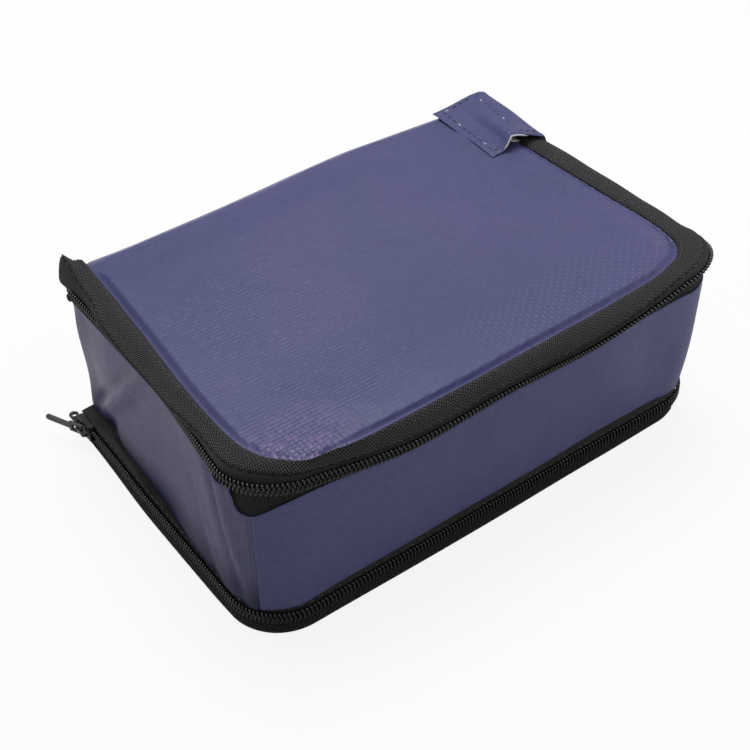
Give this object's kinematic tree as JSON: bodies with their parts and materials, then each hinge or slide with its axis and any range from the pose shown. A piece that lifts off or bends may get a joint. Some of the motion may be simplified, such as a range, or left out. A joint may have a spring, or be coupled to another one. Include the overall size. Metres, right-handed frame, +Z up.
{
  "type": "battery safe bag",
  "caption": "Box-shaped fire-retardant battery bag in coated cloth with zips round its top and base, two back-hinged flaps, sliders with pullers and a corner tab.",
  "frame": {"origin": "centre of the flat base at the resting plane", "axes": "+X along the long side, +Y towards the back where both flaps are hinged, +Z up"},
  "size_m": [0.2339, 0.1602, 0.0863],
  "materials": {
    "coated_fabric": "PVC-coated woven cloth, semi-gloss",
    "zip_tape": "woven polyester tape, matt",
    "zip_coil": "nylon monofilament",
    "zip_stop": "moulded nylon",
    "barrier_pad": "needled glass-fibre felt",
    "lining_cloth": "woven glass-fibre cloth",
    "tab_reverse": "uncoated cloth reverse",
    "thread_black": "polyester thread",
    "thread_white": "polyester thread",
    "slider_metal": "gunmetal paint on zinc, satin",
    "puller_metal": "gunmetal paint, worn at the edges"
  },
  "bodies": {
    "bag_body": {"front_wall_outer": "coated_fabric", "left_wall_outer": "coated_fabric", "right_wall_outer": "coated_fabric", "back_wall_outer": "coated_fabric", "front_padding": "barrier_pad", "left_padding": "barrier_pad", "right_padding": "barrier_pad", "back_padding": "barrier_pad", "body_lining": "lining_cloth", "mid_floor_pad": "barrier_pad", "mid_floor_cover": "lining_cloth", "upper_zip_body_tape": "zip_tape", "upper_zip_body_coil": "zip_coil", "upper_zip_end_stops": "zip_stop", "lower_zip_body_tape": "zip_tape", "lower_zip_body_coil": "zip_coil", "lower_zip_end_stops": "zip_stop", "wall_seam_stitching": "thread_black", "lower_tape_stitching": "thread_black"},
    "top_lid": {"lid_outer": "coated_fabric", "lid_padding": "barrier_pad", "lid_lining": "lining_cloth", "lid_zip_tape": "zip_tape", "lid_zip_coil": "zip_coil", "lid_stitching": "thread_black"},
    "base_flap": {"base_outer": "coated_fabric", "base_padding": "barrier_pad", "base_lining": "lining_cloth", "base_zip_tape": "zip_tape", "base_zip_coil": "zip_coil", "base_stitching": "thread_black"},
    "upper_slider": {"upper_slider_body": "slider_metal", "upper_slider_bridge": "slider_metal"},
    "upper_pull": {"upper_puller": "puller_metal"},
    "lower_slider": {"lower_slider_body": "slider_metal", "lower_slider_bridge": "slider_metal"},
    "lower_pull": {"lower_puller": "puller_metal"},
    "corner_tab": {"corner_tab_outer": "coated_fabric", "corner_tab_backing": "tab_reverse", "corner_tab_stitching": "thread_white"}
  },
  "joints": [
    {"name": "lid_hinge", "type": "hinge", "parent": "bag_body", "child": "top_lid", "pos_m": [0, 0.074, 0.084], "axis": [-1, 0, 0], "range_deg": [0, 180]},
    {"name": "base_hinge", "type": "hinge", "parent": "bag_body", "child": "base_flap", "pos_m": [0, 0.074, 0], "axis": [1, 0, 0], "range_deg": [0, 180]},
    {"name": "upper_slider_run", "type": "slide", "parent": "bag_body", "child": "upper_slider", "axis": [0, -1, 0], "range_m": [0, 0.1]},
    {"name": "upper_puller_swing", "type": "hinge", "parent": "upper_slider", "child": "upper_pull", "pos_m": [0.1117, 0.068, 0.0756], "axis": [0, 0, 1], "range_deg": [0, 163]},
    {"name": "lower_slider_run", "type": "slide", "parent": "bag_body", "child": "lower_slider", "axis": [0, -1, 0], "range_m": [0, 0.1]},
    {"name": "lower_puller_swing", "type": "hinge", "parent": "lower_slider", "child": "lower_pull", "pos_m": [-0.1117, 0.068, 0.0089], "axis": [0, 0, 1], "range_deg": [-12, 151]},
    {"name": "corner_tab_lift", "type": "hinge", "parent": "top_lid", "child": "corner_tab", "pos_m": [0.0748, 0.049, 0.0844], "axis": [0, -1, 0], "range_deg": [0, 120]}
  ]
}
